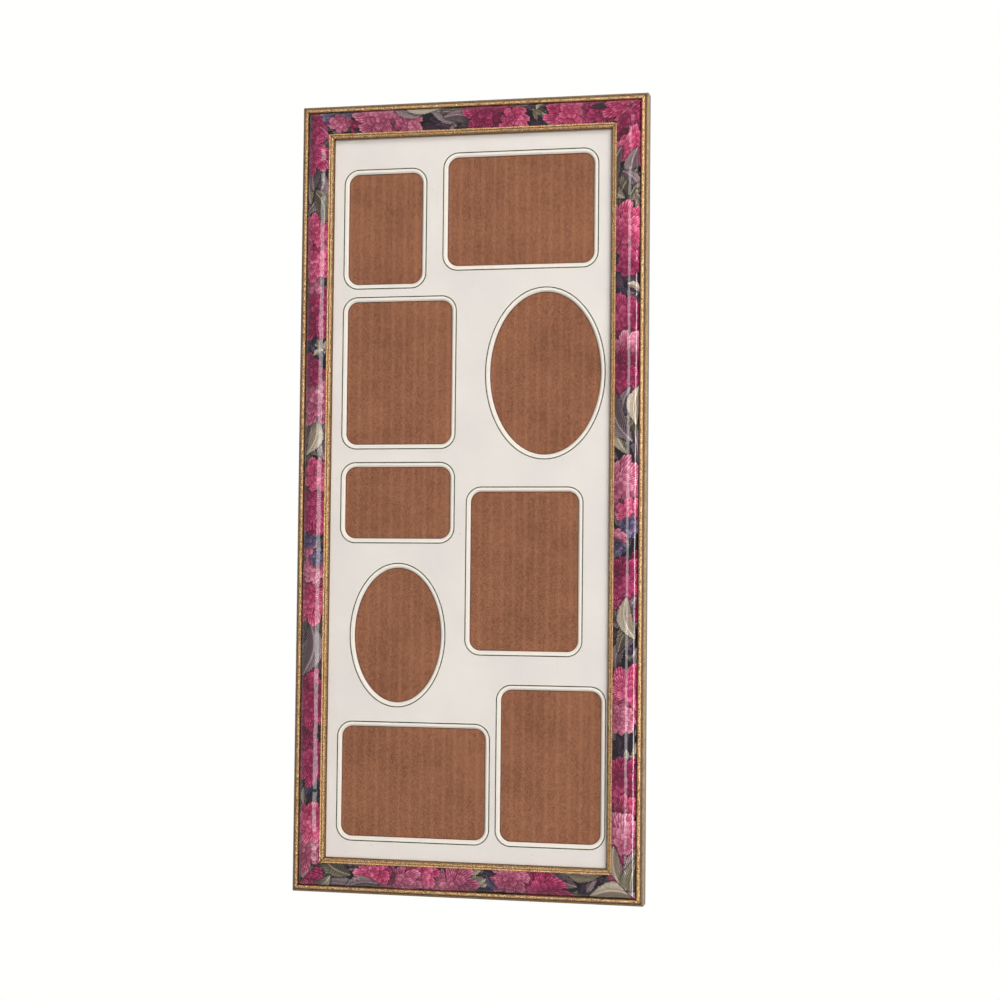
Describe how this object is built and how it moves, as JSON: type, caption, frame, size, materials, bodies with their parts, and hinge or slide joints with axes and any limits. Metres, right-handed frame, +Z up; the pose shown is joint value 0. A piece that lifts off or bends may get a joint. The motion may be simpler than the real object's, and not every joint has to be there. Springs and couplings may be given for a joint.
{
  "type": "collage photo frame",
  "caption": "Tall wall-hung collage photo frame with a flower-printed gilt-edged moulding, glass, a multi-window mat and turn-button back.",
  "frame": {"origin": "where the middle notch of the hanger sits on the wall nail, in the plane of the wall", "axes": "+Z up, +Y into the wall, the picture faces -Y"},
  "size_m": [0.245, 0.0194, 0.547],
  "materials": {
    "moulding": "wood moulding with a glossy flower-printed swell between gilt bands, bare wood behind",
    "glass": "clear float glass",
    "mat": "off-white surface paper over a pale core, bevel cut",
    "foil": "hot-stamped metallic line",
    "corrugated_board": "brown kraft corrugated board",
    "hardboard": "brown hardboard",
    "zinc_steel": "zinc plated",
    "brassed_steel": "brass plated"
  },
  "bodies": {
    "frame": {"stile_left": "moulding", "stile_right": "moulding", "rail_top": "moulding", "rail_bottom": "moulding", "corner_v_nails": "zinc_steel", "glass_pane": "glass", "mat_board": "mat", "foil_lines": "foil", "backing_front_liner": "corrugated_board", "backing_fluting": "corrugated_board", "backing_rear_liner": "corrugated_board", "back_panel": "hardboard", "turn_button_screws": "zinc_steel", "sawtooth_hanger": "brassed_steel", "hanger_nails": "brassed_steel"},
    "button_left_1": {"turn_button_left_1": "zinc_steel"},
    "button_left_2": {"turn_button_left_2": "zinc_steel"},
    "button_left_3": {"turn_button_left_3": "zinc_steel"},
    "button_left_4": {"turn_button_left_4": "zinc_steel"},
    "button_right_1": {"turn_button_right_1": "zinc_steel"},
    "button_right_2": {"turn_button_right_2": "zinc_steel"},
    "button_right_3": {"turn_button_right_3": "zinc_steel"},
    "button_right_4": {"turn_button_right_4": "zinc_steel"}
  },
  "joints": [
    {"name": "button_left_1_turn", "type": "hinge", "parent": "frame", "child": "button_left_1", "pos_m": [-0.1085, -0.0024, -0.0687], "axis": [0, 1, 0], "continuous": true},
    {"name": "button_left_2_turn", "type": "hinge", "parent": "frame", "child": "button_left_2", "pos_m": [-0.1085, -0.0024, -0.19703], "axis": [0, 1, 0], "continuous": true},
    {"name": "button_left_3_turn", "type": "hinge", "parent": "frame", "child": "button_left_3", "pos_m": [-0.1085, -0.0024, -0.32537], "axis": [0, 1, 0], "continuous": true},
    {"name": "button_left_4_turn", "type": "hinge", "parent": "frame", "child": "button_left_4", "pos_m": [-0.1085, -0.0024, -0.4537], "axis": [0, 1, 0], "continuous": true},
    {"name": "button_right_1_turn", "type": "hinge", "parent": "frame", "child": "button_right_1", "pos_m": [0.1085, -0.0024, -0.0687], "axis": [0, 1, 0], "continuous": true},
    {"name": "button_right_2_turn", "type": "hinge", "parent": "frame", "child": "button_right_2", "pos_m": [0.1085, -0.0024, -0.19703], "axis": [0, 1, 0], "continuous": true},
    {"name": "button_right_3_turn", "type": "hinge", "parent": "frame", "child": "button_right_3", "pos_m": [0.1085, -0.0024, -0.32537], "axis": [0, 1, 0], "continuous": true},
    {"name": "button_right_4_turn", "type": "hinge", "parent": "frame", "child": "button_right_4", "pos_m": [0.1085, -0.0024, -0.4537], "axis": [0, 1, 0], "continuous": true}
  ]
}
